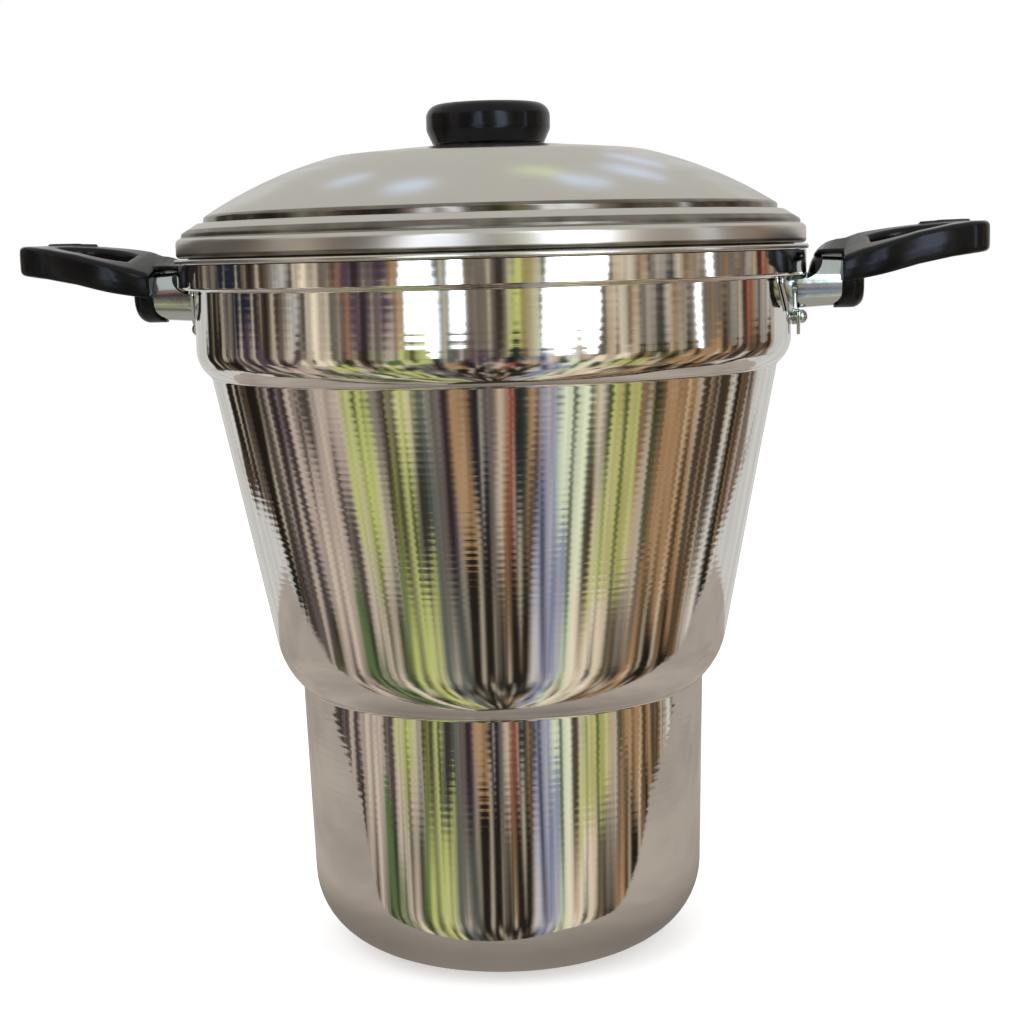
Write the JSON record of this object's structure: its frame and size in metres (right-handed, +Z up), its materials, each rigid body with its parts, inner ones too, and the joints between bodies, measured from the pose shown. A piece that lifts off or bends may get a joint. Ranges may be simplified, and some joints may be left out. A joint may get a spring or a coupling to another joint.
{
  "type": "couscoussier",
  "caption": "Spun aluminium couscoussier: tall pot with a narrow foot, a perforated steamer basket hung inside, a domed lid with a round knob, and a black loop handle on each side.",
  "frame": {"origin": "middle of the pot's flat base, on the surface that it stands on", "axes": "+Z up along the pot's axis, +X towards the right handle, -Y towards the side that the picture shows"},
  "size_m": [0.45, 0.29, 0.3911],
  "materials": {
    "polished_aluminium": "mirror polished, with fine spinning lines",
    "satin_aluminium": "satin, brushed round the axis",
    "bakelite": "black thermoset, half gloss",
    "zinc_plate": "bright zinc plated",
    "steel": "plain"
  },
  "bodies": {
    "pot": {"pot_body": "polished_aluminium", "handle_right": "bakelite", "ferrule_right": "zinc_plate", "bracket_right": "zinc_plate", "bracket_rivet_low_right": "zinc_plate", "bracket_rivet_a_right": "zinc_plate", "bracket_rivet_b_right": "zinc_plate", "handle_screw_right": "steel", "handle_left": "bakelite", "ferrule_left": "zinc_plate", "bracket_left": "zinc_plate", "bracket_rivet_low_left": "zinc_plate", "bracket_rivet_a_left": "zinc_plate", "bracket_rivet_b_left": "zinc_plate", "handle_screw_left": "steel"},
    "steamer": {"steamer_basket": "satin_aluminium"},
    "lid": {"lid_shell": "satin_aluminium", "lid_knob": "bakelite", "knob_screw": "steel", "knob_washer": "steel"}
  },
  "joints": [
    {"name": "steamer_lift", "type": "slide", "parent": "pot", "child": "steamer", "axis": [0, 0, 1], "range_m": [0, 0.2]},
    {"name": "lid_lift", "type": "slide", "parent": "steamer", "child": "lid", "axis": [0, 0, 1], "range_m": [0, 0.15]}
  ]
}
